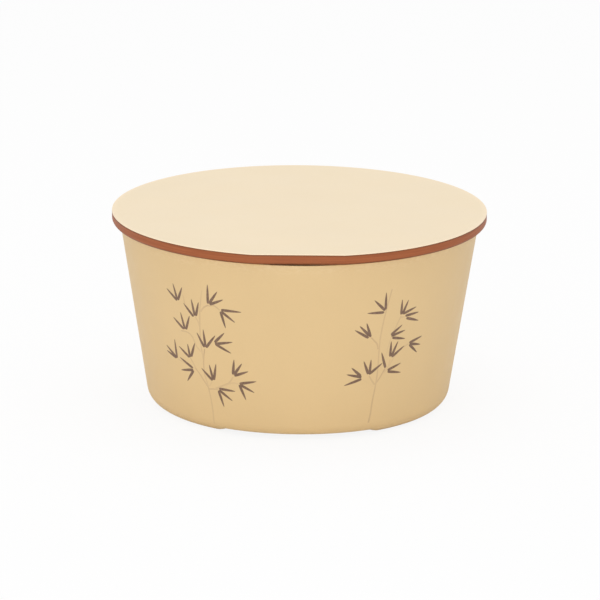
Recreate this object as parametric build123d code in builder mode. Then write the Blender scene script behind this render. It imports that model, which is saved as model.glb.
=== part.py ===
from build123d import *
from math import atan2, cos, pi, radians, sqrt, tan
import os

# Round, tapered rice tub with an insulated double wall and a flat, laminated lid board.
# The outer shell and the liner are mouldings with foam between them. The liner's flange lies
# in a rebate of the shell's rim and closes the double wall. The lid lies on the liner's mouth
# bead, is centred by a ring under it, and lifts straight off.
# Units are millimetres and +Z is up. The origin is on the tub's axis at the floor, and the
# front, where the lid has its flat, faces -Y.

# Tub, outside form
TUB_HEIGHT = 198.0  # from the floor to the lid's underside
WALL_FOOT_RADIUS = 160.0  # where the outer wall's line would meet the floor
WALL_RIM_RADIUS = 191.3  # where the outer wall's line would meet the lid's underside
BASE_CORNER_RADIUS = 18.0
REVEAL_HEIGHT = 1.4  # shadow gap between the shell's rim and the lid

# Outer shell
SHELL_WALL = 3.0
SHELL_FLAT_SHARE = 0.6  # hidden inside corner: leg of its flat, of the round it stands for
FOOT_HEIGHT = 5.2
FOOT_WIDTH = 14.0
FOOT_RECESS_DRAFT_DEGREES = 20.0
FINGER_CHANNEL_WIDTH = 152.0  # between the tops of its ramps
FINGER_RAMP_LENGTH = 10.0
FINGER_RAMP_ROUNDING = 5.0
LIP_WIDTH = 1.5  # of the rim outside the flange's rebate
LIP_CHAMFER_SHARE = 0.4  # of the lip's width, on each of its two edges
FLANGE_CLEARANCE = 0.2

# Liner
LINER_WALL = 2.5
LINER_CORNER_RADIUS = 24.0
LINER_FLAT_SHARE = 0.48  # hidden outside corner: leg of its flat, of the round it stands for
FLANGE_THICKNESS = 2.5
FLANGE_CHAMFER = 0.4
MOUTH_BEAD_WIDTH = 7.0
MOUTH_BEAD_CHAMFER = 0.9

# Foam between the shell and the liner
FOAM_WALL = 7.5
FOAM_FLOOR = 12.0
FOAM_FIT = 0.2

# Plug of the hole through which the foam is poured
FILL_HOLE_RADIUS = 8.0
FILL_PLUG_HEAD_RADIUS = 13.0
FILL_PLUG_HEAD_THICKNESS = 1.6
FILL_PLUG_CLEARANCE = 0.1
FILL_PLUG_CHAMFER = 0.5

# Lid board
LID_OVERHANG = 8.7  # past the outer wall's line at the rim
LID_FLAT_DEPTH = 5.8  # what the flat at the front takes off the circle
LID_CORNER_RADIUS = 10.0
TOP_SHEET_THICKNESS = 0.8
TOP_SHEET_CHAMFER = 0.4
CORE_THICKNESS = 9.2
BOTTOM_SHEET_THICKNESS = 1.5
EDGE_BAND_THICKNESS = 5.0
EDGE_BAND_ROUNDING = 4.0  # of its lower edge, which gets the flat inside that round
LID_FIT = 0.1  # between the edge band and the boards inside it

# Ring under the lid that centres it in the mouth
RING_HEIGHT = 8.0
RING_WALL = 3.0
RING_CLEARANCE = 1.5
RING_CHAMFER = 0.9

OVERRUN = 5.0  # how far every cutting form runs past what it cuts

# Levels, insets and radii that follow from the sizes above
taper = atan2(WALL_RIM_RADIUS - WALL_FOOT_RADIUS, TUB_HEIGHT)
shell_top = TUB_HEIGHT - REVEAL_HEIGHT
flange_seat = shell_top - FLANGE_THICKNESS
liner_outer_inset = SHELL_WALL + FOAM_WALL
liner_inner_inset = liner_outer_inset + LINER_WALL
shell_floor_top = FOOT_HEIGHT + SHELL_WALL
liner_floor_bottom = shell_floor_top + FOAM_FLOOR
liner_floor_top = liner_floor_bottom + LINER_WALL
foot_outer_radius = WALL_FOOT_RADIUS - BASE_CORNER_RADIUS * tan((pi / 2 - taper) / 2)
foot_inner_radius = foot_outer_radius - FOOT_WIDTH
lip_chamfer = LIP_WIDTH * LIP_CHAMFER_SHARE
liner_back_radius = LINER_CORNER_RADIUS + LINER_WALL
lid_radius = WALL_RIM_RADIUS + LID_OVERHANG
lid_flat_distance = lid_radius - LID_FLAT_DEPTH
edge_band_height = CORE_THICKNESS + BOTTOM_SHEET_THICKNESS
edge_band_chamfer = EDGE_BAND_ROUNDING * (2 - sqrt(2))
core_bottom = TUB_HEIGHT + BOTTOM_SHEET_THICKNESS
top_sheet_bottom = TUB_HEIGHT + edge_band_height


def wall_radius(height, inset=0):
    """Radius at a height of the outer wall, or of a surface set in from it by a thickness."""
    outer = WALL_FOOT_RADIUS + (WALL_RIM_RADIUS - WALL_FOOT_RADIUS) * height / TUB_HEIGHT
    return outer - inset / cos(taper)


def bowl_section(inset, floor_height, top_height, corner_radius, flat_share=0, top_chamfer=0):
    """Half section of a solid bowl whose side is parallel to the tub's outer wall.

    The corner at the floor is round, or gets a flat whose legs are a share of that round.
    """
    with BuildSketch(Plane.XZ) as section:
        with BuildLine():
            Polyline(
                (0, floor_height),
                (wall_radius(floor_height, inset), floor_height),
                (wall_radius(top_height, inset), top_height),
                (0, top_height),
                close=True,
            )
        make_face()
        floor_corner = section.vertices().group_by(Axis.Y)[0].sort_by(Axis.X)[-1]
        if flat_share > 0:
            chamfer(floor_corner, corner_radius * flat_share)
        else:
            fillet(floor_corner, corner_radius)
        if top_chamfer > 0:
            chamfer(section.vertices().group_by(Axis.Y)[-1].sort_by(Axis.X)[-1], top_chamfer)
    return section.sketch


def foot_relief(growth):
    """Space under the tub, grown by a wall: a round recess and a finger channel along Y."""
    ramp_top = FINGER_CHANNEL_WIDTH / 2
    ramp_foot = ramp_top + FINGER_RAMP_LENGTH
    draft = radians(FOOT_RECESS_DRAFT_DEGREES)
    with BuildPart() as relief:
        with BuildSketch(Plane.XY.offset(-OVERRUN)):
            Circle(foot_inner_radius + OVERRUN * tan(draft) + growth / cos(draft))
        extrude(amount=OVERRUN + FOOT_HEIGHT + growth, taper=FOOT_RECESS_DRAFT_DEGREES)
        with BuildSketch(Plane.XZ) as channel:
            with BuildLine():
                Polyline(
                    (-WALL_RIM_RADIUS, -OVERRUN),
                    (-WALL_RIM_RADIUS, 0),
                    (-ramp_foot, 0),
                    (-ramp_top, FOOT_HEIGHT),
                    (ramp_top, FOOT_HEIGHT),
                    (ramp_foot, 0),
                    (WALL_RIM_RADIUS, 0),
                    (WALL_RIM_RADIUS, -OVERRUN),
                    close=True,
                )
            make_face()
            ramp_corners = channel.vertices().filter_by_position(Axis.X, -ramp_foot, ramp_foot)
            fillet(ramp_corners, FINGER_RAMP_ROUNDING)
            if growth > 0:
                offset(amount=growth, kind=Kind.INTERSECTION)
        extrude(amount=WALL_RIM_RADIUS, both=True)
    return relief.part


def shell_form(inset, top_height, flat_share=0, top_chamfer=0):
    """Solid form of the outer shell, foot included, set in all round by a thickness."""
    corner_radius = BASE_CORNER_RADIUS - inset
    with BuildPart() as form:
        add(bowl_section(inset, inset, top_height, corner_radius, flat_share, top_chamfer))
        revolve(axis=Axis.Z)
        add(foot_relief(inset), mode=Mode.SUBTRACT)
    return form.part


def rebate_section():
    """Half section of the flange's rebate, flared by the chamfer of the lip's inner edge."""
    rebate_radius = wall_radius(shell_top) - LIP_WIDTH
    lip_middle = rebate_radius + LIP_WIDTH / 2
    with BuildSketch(Plane.XZ) as rebate:
        with BuildLine():
            Polyline(
                (0, flange_seat),
                (rebate_radius, flange_seat),
                (rebate_radius, shell_top),
                (lip_middle, shell_top),
                (lip_middle, shell_top + OVERRUN),
                (0, shell_top + OVERRUN),
                close=True,
            )
        make_face()
        lip_corners = rebate.vertices().filter_by_position(Axis.Y, shell_top, shell_top)
        chamfer(lip_corners.sort_by(Axis.X)[0], lip_chamfer)
    return rebate.sketch


def lid_outline(inset):
    """The lid's plan, a circle with a flat at the front, set in from its edge."""
    with BuildSketch() as outline:
        Circle(lid_radius - inset)
        with Locations((0, inset - lid_flat_distance)):
            Rectangle(
                2 * lid_radius, lid_radius, align=(Align.CENTER, Align.MAX), mode=Mode.SUBTRACT
            )
        fillet(outline.vertices().group_by(Axis.Y)[0], LID_CORNER_RADIUS - inset)
    return outline.sketch


# Outer shell: its wall is carried on at one thickness over the foot and the finger channel
with BuildPart() as outer_shell:
    add(shell_form(0, shell_top, top_chamfer=lip_chamfer))
    add(shell_form(SHELL_WALL, TUB_HEIGHT, SHELL_FLAT_SHARE), mode=Mode.SUBTRACT)
    add(rebate_section())
    revolve(axis=Axis.Z, mode=Mode.SUBTRACT)
    with BuildSketch():
        Circle(FILL_HOLE_RADIUS)
    extrude(amount=shell_floor_top + OVERRUN, mode=Mode.SUBTRACT)

# Plug: a round head under the shell's floor and a stem that fills the hole
with BuildPart() as foam_fill_plug:
    with BuildSketch(Plane.XY.offset(FOOT_HEIGHT - FILL_PLUG_HEAD_THICKNESS)):
        Circle(FILL_PLUG_HEAD_RADIUS)
    extrude(amount=FILL_PLUG_HEAD_THICKNESS)
    chamfer(foam_fill_plug.edges().group_by(Axis.Z)[0], FILL_PLUG_CHAMFER)
    with BuildSketch(Plane.XY.offset(FOOT_HEIGHT)):
        Circle(FILL_HOLE_RADIUS - FILL_PLUG_CLEARANCE)
    extrude(amount=SHELL_WALL)

# Foam cup: all the space between the shell and the liner
with BuildPart() as insulation_cup:
    add(shell_form(SHELL_WALL + FOAM_FIT, flange_seat - FOAM_FIT, SHELL_FLAT_SHARE))
    add(
        bowl_section(
            liner_outer_inset - FOAM_FIT,
            liner_floor_bottom - FOAM_FIT,
            TUB_HEIGHT,
            liner_back_radius + FOAM_FIT,
            LINER_FLAT_SHARE,
        )
    )
    revolve(axis=Axis.Z, mode=Mode.SUBTRACT)

# Liner: the rice well, the flange that closes the double wall, and the bead the lid lies on
with BuildPart() as inner_liner:
    add(
        bowl_section(
            liner_outer_inset, liner_floor_bottom, shell_top, liner_back_radius, LINER_FLAT_SHARE
        )
    )
    revolve(axis=Axis.Z)
    with BuildSketch(Plane.XY.offset(flange_seat)):
        Circle(wall_radius(shell_top) - LIP_WIDTH - FLANGE_CLEARANCE)
    extrude(amount=FLANGE_THICKNESS)
    chamfer(inner_liner.edges().group_by(Axis.Z)[-1], FLANGE_CHAMFER)
    with BuildSketch(Plane.XY.offset(shell_top)):
        Circle(wall_radius(TUB_HEIGHT, liner_inner_inset) + MOUTH_BEAD_WIDTH)
    extrude(amount=REVEAL_HEIGHT)
    add(
        bowl_section(
            liner_inner_inset, liner_floor_top, TUB_HEIGHT + OVERRUN, LINER_CORNER_RADIUS
        )
    )
    revolve(axis=Axis.Z, mode=Mode.SUBTRACT)
    chamfer(inner_liner.edges().group_by(Axis.Z)[-1], MOUTH_BEAD_CHAMFER)

# Lid's bottom sheet, inside the edge band
with BuildPart() as lid_bottom_sheet:
    with BuildSketch(Plane.XY.offset(TUB_HEIGHT)):
        add(lid_outline(EDGE_BAND_THICKNESS + LID_FIT))
    extrude(amount=BOTTOM_SHEET_THICKNESS)

# Lid's core board, between the two sheets
with BuildPart() as lid_core:
    with BuildSketch(Plane.XY.offset(core_bottom)):
        add(lid_outline(EDGE_BAND_THICKNESS + LID_FIT))
    extrude(amount=CORE_THICKNESS)

# Lid's edge band, round the core and the bottom sheet, along the circle and the flat
with BuildPart() as lid_edge_band:
    with BuildSketch(Plane.XY.offset(TUB_HEIGHT)):
        add(lid_outline(0))
        add(lid_outline(EDGE_BAND_THICKNESS), mode=Mode.SUBTRACT)
    extrude(amount=edge_band_height)
    band_foot = lid_edge_band.faces().sort_by(Axis.Z)[0].outer_wire()
    chamfer(band_foot.edges(), edge_band_chamfer)

# Lid's top sheet, which also covers the band's upper edge
with BuildPart() as lid_top_sheet:
    with BuildSketch(Plane.XY.offset(top_sheet_bottom)):
        add(lid_outline(0))
    extrude(amount=TOP_SHEET_THICKNESS)
    chamfer(lid_top_sheet.edges().group_by(Axis.Z)[-1], TOP_SHEET_CHAMFER)

# Locating ring: follows the liner's wall at a steady clearance
with BuildPart() as lid_locating_ring:
    ring_bottom = TUB_HEIGHT - RING_HEIGHT
    ring_outer_inset = liner_inner_inset + RING_CLEARANCE
    ring_inner_inset = ring_outer_inset + RING_WALL
    with BuildSketch(Plane.XZ) as ring_section:
        with BuildLine():
            Polyline(
                (wall_radius(TUB_HEIGHT, ring_inner_inset), TUB_HEIGHT),
                (wall_radius(ring_bottom, ring_inner_inset), ring_bottom),
                (wall_radius(ring_bottom, ring_outer_inset), ring_bottom),
                (wall_radius(TUB_HEIGHT, ring_outer_inset), TUB_HEIGHT),
                close=True,
            )
        make_face()
        chamfer(ring_section.vertices().group_by(Axis.Y)[0], RING_CHAMFER)
    revolve(axis=Axis.Z)

pieces = {
    "outer_shell": outer_shell,
    "foam_fill_plug": foam_fill_plug,
    "insulation_cup": insulation_cup,
    "inner_liner": inner_liner,
    "lid_bottom_sheet": lid_bottom_sheet,
    "lid_core": lid_core,
    "lid_edge_band": lid_edge_band,
    "lid_top_sheet": lid_top_sheet,
    "lid_locating_ring": lid_locating_ring,
}
os.makedirs("parts", exist_ok=True)
for name, piece in pieces.items():
    piece.part.label = name
    export_step(piece.part, os.path.join("parts", name + ".step"))
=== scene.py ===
# Looks of a round rice tub with a flat lid board: smooth surfaces over the packed frame,
# procedural plastics, a bamboo print on the wall, soft studio light and the photograph's camera.
import math

import bpy
import numpy as np
from bpy.props import FloatProperty, FloatVectorProperty, PointerProperty
from mathutils import Matrix, Vector


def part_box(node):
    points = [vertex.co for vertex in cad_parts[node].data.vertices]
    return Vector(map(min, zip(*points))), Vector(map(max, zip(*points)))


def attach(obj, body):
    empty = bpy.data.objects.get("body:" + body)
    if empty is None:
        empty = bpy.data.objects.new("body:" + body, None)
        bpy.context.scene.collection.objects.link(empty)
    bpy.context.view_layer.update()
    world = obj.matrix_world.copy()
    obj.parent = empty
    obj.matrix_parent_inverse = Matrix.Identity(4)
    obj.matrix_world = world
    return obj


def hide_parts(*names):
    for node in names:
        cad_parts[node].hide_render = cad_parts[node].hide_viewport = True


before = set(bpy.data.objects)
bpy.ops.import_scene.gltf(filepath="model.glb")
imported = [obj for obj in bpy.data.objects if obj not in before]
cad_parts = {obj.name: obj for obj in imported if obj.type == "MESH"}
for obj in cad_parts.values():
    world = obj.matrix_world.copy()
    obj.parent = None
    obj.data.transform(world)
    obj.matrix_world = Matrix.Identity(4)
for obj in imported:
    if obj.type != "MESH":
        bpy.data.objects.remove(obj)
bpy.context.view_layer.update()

bl_info = {
    "name": "Rice Tub",
    "version": (1, 0, 0),
    "blender": (4, 5, 0),
    "location": "View3D > Sidebar > Rice Tub",
    "description": "Builds a round rice tub with a flat lid board around its packed frame",
    "category": "Add Mesh",
}

# Corners of the packed pieces' boxes, which give the levels and radii that the pieces here keep to
shell_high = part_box("outer_shell")[1]
liner_low, liner_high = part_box("inner_liner")
lid_low, lid_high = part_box("lid_top_sheet")
band_low, band_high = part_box("lid_edge_band")
sheet_low, sheet_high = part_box("lid_bottom_sheet")
ring_low, ring_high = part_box("lid_locating_ring")
plug_low, plug_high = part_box("foam_fill_plug")

SMOOTH_ANGLE = math.radians(35)  # edges sharper than this stay sharp
SUPPORT = 0.0004  # how close to a rounding a straight run has its first row of faces
NEARLY = 1e-6  # a difference that counts as none

# Numbers of faces round a piece, and the longest straight runs of a profile that stay undivided

SHELL_TURN = 720
LINER_TURN = 540
PLUG_TURN = 96
BOARD_RINGS = 20
CENTRE_SHARE = 0.25  # of a flat face's radius: where its faces meet the fan round the axis
SHELL_SPACING = 0.0125
INSIDE_SPACING = 0.0250
CHANNEL_SPACING = 0.0012
LINER_SPACING = 0.0100
BAND_SPACING = 0.0006
SMALL_SPACING = 0.0020

# How far wear, painted highlights and painted shade reach from the edges that they start at

SHELL_WEAR_AND_HIGHLIGHT = 0.005
BASE_WEAR_SHARE = 0.2  # of the base corner's radius: in and up from where the wall's line meets the floor
LINER_HIGHLIGHT = 0.002
PLUG_WEAR = 0.001
PLUG_SEAM_SHADE = 0.0003
SHEET_HIGHLIGHT = 0.0014
BAND_SHADE = 0.0011


def length(name, description, default):
    """A size in metres, shown as a length."""
    return FloatProperty(name=name, description=description, default=default, unit="LENGTH", precision=5)


def angle(name, description, degrees):
    """An angle, written in degrees."""
    default = math.radians(degrees)
    return FloatProperty(name=name, description=description, default=default, unit="ROTATION")


def power(name, description, watts):
    """The power of a lamp in watts."""
    return FloatProperty(name=name, description=description, default=watts, unit="POWER")


def colour(name, description, red, green, blue):
    """A colour as a picture shows it, with parts up to 255, kept as linear values by the sRGB curve."""
    parts = np.array((red, green, blue)) / 255
    linear = np.where(parts <= 0.04045, parts / 12.92, ((parts + 0.055) / 1.055) ** 2.4)
    return FloatVectorProperty(
        name=name, description=description, default=tuple(linear), subtype="COLOR", size=3, min=0, max=1
    )


class RiceTubSizes(bpy.types.PropertyGroup):
    """Sizes of the tub's mouldings."""

    rim_level: length("Rim level", "Height of the lid's underside over the floor", liner_high.z)
    foot_line_radius: length("Foot radius", "Where the outer wall's line would meet the floor", 0.160)
    rim_line_radius: length("Rim radius", "Where the outer wall's line would meet the lid", 0.1913)
    corner_radius: length("Base corner", "Radius of the rounded corner at the base", 0.018)
    shell_top: length("Shell top", "Height of the outer shell's lip", shell_high.z)
    shell_wall: length("Shell wall", "Thickness of the outer shell", 0.003)
    inside_flat: length("Inside flat", "Leg of the flat in the shell's hidden inside corner", 0.009)
    lip_width: length("Lip width", "Width of the lip outside the liner's flange", 0.0015)
    rebate_depth: length("Rebate depth", "How far the lip stands over the flange's seat", 0.0030)
    lip_rounding: length("Lip rounding", "Radius on both edges of the lip", 0.0006)
    foot_height: length("Foot height", "Height of the recess and the finger channel", 0.0052)
    foot_width: length("Foot width", "Width of the ring that the tub stands on", 0.014)
    recess_draft: angle("Recess draft", "Slope of the recess's side, from the vertical", 20)
    channel_width: length("Channel width", "Width of the finger channel between its ramps", 0.152)
    ramp_length: length("Ramp length", "Length of each ramp of the finger channel", 0.010)
    ramp_rounding: length("Ramp rounding", "Radius where a ramp meets the foot", 0.005)
    foam_wall: length("Foam wall", "Thickness of the foam between the mouldings", 0.0075)
    liner_wall: length("Liner wall", "Thickness of the liner", 0.0025)
    liner_corner: length("Liner corner", "Radius of the rice well's corner", 0.024)
    flange_thickness: length("Flange", "Thickness of the flange on the rim", 0.0025)
    flange_rounding: length("Flange rounding", "Radius on the flange's edge", 0.0005)
    flange_clearance: length("Flange clearance", "Play between the flange and the lip", 0.0002)
    bead_width: length("Bead width", "Width of the bead that the lid lies on", 0.007)
    bead_rounding: length("Bead rounding", "Radius on both edges of the bead", 0.0012)
    plug_head_thickness: length("Plug head", "Thickness of the plug's head", 0.0016)
    plug_stem_radius: length("Plug stem", "Radius of the plug's stem", 0.0079)
    plug_rounding: length("Plug rounding", "Radius on the plug's edge", 0.0006)
    plug_dimple_radius: length("Dimple radius", "Radius of the dimple in the plug's head", 0.004)
    plug_dimple_depth: length("Dimple depth", "Depth of the dimple in the plug's head", 0.0004)


class RiceTubLidSizes(bpy.types.PropertyGroup):
    """Sizes of the lid board and of the ring under it."""

    radius: length("Radius", "Radius of the lid board", lid_high.x)
    flat_distance: length("Flat distance", "From the axis to the flat at the front", -lid_low.y)
    corner_radius: length("Corner radius", "Rounding where the flat meets the circle", 0.010)
    sheet_rounding: length("Sheet rounding", "Radius on the top sheet's upper edge", 0.0005)
    seam_rounding: length("Seam rounding", "Radius on both sides of the seam under the top sheet", 0.0003)
    band_thickness: length("Band thickness", "Thickness of the edge band", 0.005)
    band_rounding: length("Band rounding", "Radius on the band's lower edge", 0.004)
    edge_strip: length("Edge strip", "Width of the faces along a board's edge", 0.006)
    sheet_gap: length("Sheet gap", "Play between the band and the sheet inside it", 0.0001)
    ring_clearance: length("Ring clearance", "Play between the ring and the liner", 0.0015)
    ring_wall: length("Ring wall", "Thickness of the ring", 0.003)
    ring_rounding: length("Ring rounding", "Radius on the ring's lower edges", 0.0012)


class RiceTubPrint(bpy.types.PropertyGroup):
    """Sizes of the printed bamboo."""

    leaf_width: length("Leaf width", "Greatest width of a leaf", 0.0031)
    leaf_end: length("Leaf end", "How far a leaf's thinning ink runs on past its start and tip", 0.0007)
    stem_width: length("Stem width", "Width of a stem at its start", 0.0019)
    twig_width: length("Twig width", "Width of a stem at its end", 0.0015)
    stem_thickness: length("Stem thickness", "Thickness of the stems' ink over the wall", 0.00003)
    leaf_thickness: length("Leaf thickness", "Thickness of the leaves' ink, which covers the stems", 0.00006)
    ink_depth: length("Ink depth", "How far the print reaches into the wall", 0.00006)


class RiceTubColours(bpy.types.PropertyGroup):
    """Colours of the finishes."""

    wall: colour("Wall", "Beige plastic of the outer shell", 226, 195, 144)
    # Paler beige: real scuffs at the base corner and the plug, and a painted highlight along the lip.
    wall_scuffed: colour("Scuffed wall", "Beige plastic where it is rubbed", 240, 212, 168)
    grime: colour("Grime", "What gathers under the foot", 132, 96, 62)
    # Painted shade: a dark tone for the plastic in the joint between the lid and the rim, where the lid's
    # shadow falls.
    joint: colour("Joint", "Plastic in the dark joint between the lid and the rim", 122, 78, 42)
    liner: colour("Liner", "Cream plastic of the liner and the ring", 240, 226, 198)
    sheet: colour("Lid sheet", "Cream sheet on the lid", 246, 227, 194)
    # Painted highlight: a paler tone along the cream sheet's rounded edge and its seam.
    sheet_edge: colour("Sheet edge", "Core of the cream sheet, seen at its edge", 254, 233, 201)
    band: colour("Edge band", "Reddish brown edging", 172, 99, 59)
    band_streak: colour("Band streak", "Darker streaks along the edging", 154, 86, 52)
    # Painted shade: a darker tone at the band's seam under the top sheet and along its lower rounding.
    band_edge: colour("Band edge", "Edging where it was trimmed at the sheets", 112, 64, 34)
    leaf: colour("Leaf ink", "Ink of the leaves", 120, 93, 74)
    leaf_thin: colour("Thin ink", "Ink where it lies thinner", 142, 113, 90)
    stem: colour("Stem ink", "Ink of the stems where it is full", 200, 167, 126)
    foam: colour("Foam", "Rigid foam in the wall and the lid", 236, 224, 176)


class RiceTubStage(bpy.types.PropertyGroup):
    """Camera, lamps and floor."""

    camera_distance: length("Camera distance", "From the lens to the aim point", 5.23)
    camera_elevation: angle("Camera elevation", "Height of the camera over the horizon", 15.10)
    camera_roll: angle("Camera roll", "Turn of the camera about its line of sight", 0.445)
    camera_lens: FloatProperty(name="Lens", description="Focal length", default=292.5, unit="CAMERA")
    aim_side: length("Aim side", "How far right of the axis the camera aims", 0.00133)
    aim_height: length("Aim height", "Height that the camera aims at", 0.10874)
    sky_strength: FloatProperty(name="Sky", description="Strength of the white surroundings", default=0.79)
    key_power: power("Key", "Power of the front soft box", 16.5)
    key_side: length("Key side", "Side of the front soft box", 1.8)
    top_power: power("Top", "Power of the soft box overhead", 12.0)
    top_side: length("Top side", "Side of the soft box overhead", 2.0)
    floor_size: length("Floor size", "Side of the square floor", 14.0)
    floor_shadow: FloatProperty(
        name="Shadow", description="How much of the floor's own shading the camera sees",
        default=0.12, min=0, max=1, subtype="FACTOR",
    )


# Profiles and grids

def rounded_run(corners, radii, steps=6):
    """Points of a run of straight lines whose corners are rounded.

    At a corner the arc of radius r starts and ends at r times the tangent of half the turn from
    it, and its points are the arc's centre plus r times the unit vector of each angle between.
    Next to every rounding each straight line gets one more point, so that it stays flat.
    """
    corners = np.asarray(corners, float)
    points = [corners[:1]]
    for before, corner, after, radius in zip(corners[:-2], corners[1:-1], corners[2:], radii):
        incoming = corner - before
        outgoing = after - corner
        room_before = np.linalg.norm(incoming)
        room_after = np.linalg.norm(outgoing)
        incoming = incoming / room_before
        outgoing = outgoing / room_after
        across = incoming[0] * outgoing[1] - incoming[1] * outgoing[0]
        turn = math.atan2(across, float(incoming @ outgoing))
        if radius == 0 or abs(turn) < NEARLY:
            points.append(corner[None])
            continue
        reach = radius * math.tan(abs(turn) / 2)
        side = math.copysign(1, turn)
        centre = corner - incoming * reach + side * radius * np.array((-incoming[1], incoming[0]))
        start = math.atan2(-side * incoming[0], side * incoming[1])
        angles = start + np.linspace(0, turn, steps + 1)
        arc = centre + radius * np.column_stack((np.cos(angles), np.sin(angles)))
        if reach + SUPPORT < room_before / 2:
            points.append((corner - incoming * (reach + SUPPORT))[None])
        points.append(arc)
        if reach + SUPPORT < room_after / 2:
            points.append((corner + outgoing * (reach + SUPPORT))[None])
    points.append(corners[-1:])
    return np.concatenate(points)


def divided(points, spacing):
    """The same run with every straight stretch cut into equal parts no longer than the spacing."""
    steps = np.linalg.norm(np.diff(points, axis=0), axis=1)
    counts = np.maximum(1, np.ceil(steps / spacing)).astype(int)
    segment = np.repeat(np.arange(len(counts)), counts)
    share = (np.arange(len(segment)) - np.repeat(np.cumsum(counts) - counts, counts)) / counts[segment]
    moved = points[segment] + share[:, None] * (points[segment + 1] - points[segment])
    return np.concatenate((moved, points[-1:]))


def closed_run(corners, radii, spacing, steps=6):
    """A rounded and divided run that closes on itself, from halfway between its last corner and its
    first."""
    corners = np.asarray(corners, float)
    middle = (corners[:1] + corners[-1:]) / 2
    run = rounded_run(np.concatenate((middle, corners, middle)), radii, steps)
    return divided(run[:-1], spacing)


def turned(profile, angles):
    """Profile of radius and height carried round the axis: x is the radius times the sine of the
    angle, y is minus the radius times its cosine, so that angle zero is the front."""
    radius, height = profile[:, :1], profile[:, 1:] + 0 * angles
    return np.stack((radius * np.sin(angles), -radius * np.cos(angles), height), axis=-1)


def scene_object(name, data):
    """A new object in the scene that holds the given mesh, lamp or camera."""
    holder = bpy.data.objects.new(name, data)
    bpy.context.scene.collection.objects.link(holder)
    return holder


def wrapped_faces(rows, columns, start=0, poles=True):
    """Quads and triangles of a grid whose rows close on themselves, numbered from the start.

    Each quad joins two neighbouring points of a row to the same two of the next row. Fans of
    triangles close both ends, to poles that come after the grid's points, and without poles the
    last row joins the first.
    """
    number = start + np.arange(rows * columns).reshape(rows, columns)
    if not poles:
        number = np.concatenate((number, number[:1]))
    onward = np.roll(number, -1, axis=1)
    quads = np.stack((number[:-1], onward[:-1], onward[1:], number[1:]), axis=-1).reshape(-1, 4)
    if not poles:
        return quads, np.empty((0, 3), int)
    first = np.full(columns, start + rows * columns)
    fans = np.concatenate((
        np.column_stack((first, onward[0], number[0])),
        np.column_stack((first + 1, number[-1], onward[-1])),
    ))
    return quads, fans


def finished_piece(name, vertices, quads, fans, finish, marks):
    """A mesh in the scene, smooth but for its sharp edges.

    The sum of the triangles' triple products is six times the volume. Where it is negative all
    faces are turned round about their first corner, so that they face outwards. Each mark is a
    value for every vertex, which the finish reads.
    """
    triangles = np.concatenate((quads[:, :3], quads[:, (0, 2, 3)], fans))
    a, b, c = (vertices[triangles[:, k]] for k in range(3))
    if np.einsum("ij,ij->i", a, np.cross(b, c)).sum() < 0:
        quads, fans = quads[:, (0, 3, 2, 1)], fans[:, (0, 2, 1)]
    mesh = bpy.data.meshes.new(name)
    mesh.vertices.add(len(vertices))
    mesh.vertices.foreach_set("co", vertices.astype(np.float32).ravel())
    corners = np.concatenate((quads.ravel(), fans.ravel())).astype(np.int32)
    mesh.loops.add(len(corners))
    mesh.loops.foreach_set("vertex_index", corners)
    sizes = np.repeat((4, 3), (len(quads), len(fans)))
    mesh.polygons.add(len(sizes))
    mesh.polygons.foreach_set("loop_start", (np.cumsum(sizes) - sizes).astype(np.int32))
    mesh.update(calc_edges=True)
    mesh.validate()
    mesh.polygons.foreach_set("use_smooth", np.ones(len(sizes), bool))
    mesh.set_sharp_from_angle(angle=SMOOTH_ANGLE)
    for mark, values in marks.items():
        layer = mesh.attributes.new(mark, "FLOAT", "POINT")
        layer.data.foreach_set("value", values.astype(np.float32))
    mesh.materials.append(finish)
    return scene_object(name, mesh)


def mesh_piece(name, grid, finish, poles=(), **marks):
    """A closed piece from a grid whose rows run round it, with a value of each mark for every row."""
    rows, columns = grid.shape[:2]
    vertices = np.concatenate((grid.reshape(-1, 3), np.asarray(poles, float).reshape(-1, 3)))
    quads, fans = wrapped_faces(rows, columns, poles=bool(poles))
    spread = {
        mark: np.concatenate((np.repeat(values, columns), np.zeros(len(poles))))
        for mark, values in marks.items()
    }
    return finished_piece(name, vertices, quads, fans, finish, spread)


def worn_rows(profile, places, reach):
    """Value of each row of a profile, which marks wear, painted highlights and painted shade: one at the
    listed places, falling with the square of the distance over the reach."""
    distance = np.linalg.norm(profile[:, None] - np.asarray(places, float)[None], axis=2)
    return np.exp(-(distance.min(axis=1) / reach) ** 2)


def full_turn(count):
    """Equal angles all the way round."""
    return np.arange(count) * (2 * math.pi / count)


# Procedural finishes

class Nodes:
    """The node tree of a material or a world under the making, which starts empty."""

    def __init__(self, owner):
        owner.use_nodes = True
        self.tree = owner.node_tree
        self.tree.nodes.clear()

    def link(self, source, node, socket):
        """Joins an output to a node's input, or sets the input where the source is a plain value."""
        target = node.inputs[socket]
        if isinstance(source, bpy.types.NodeSocket):
            self.tree.links.new(source, target)
        else:
            target.default_value = (*source, 1) if target.type == "RGBA" else source

    def node(self, kind, inputs=None, **settings):
        """A new node with its settings and what each of its inputs is joined or set to."""
        node = self.tree.nodes.new(kind)
        for name, value in settings.items():
            setattr(node, name, value)
        for socket, source in (inputs or {}).items():
            self.link(source, node, socket)
        return node

    def times(self, first, second):
        """Product of two values."""
        return self.node("ShaderNodeMath", {0: first, 1: second}, operation="MULTIPLY").outputs[0]


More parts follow.
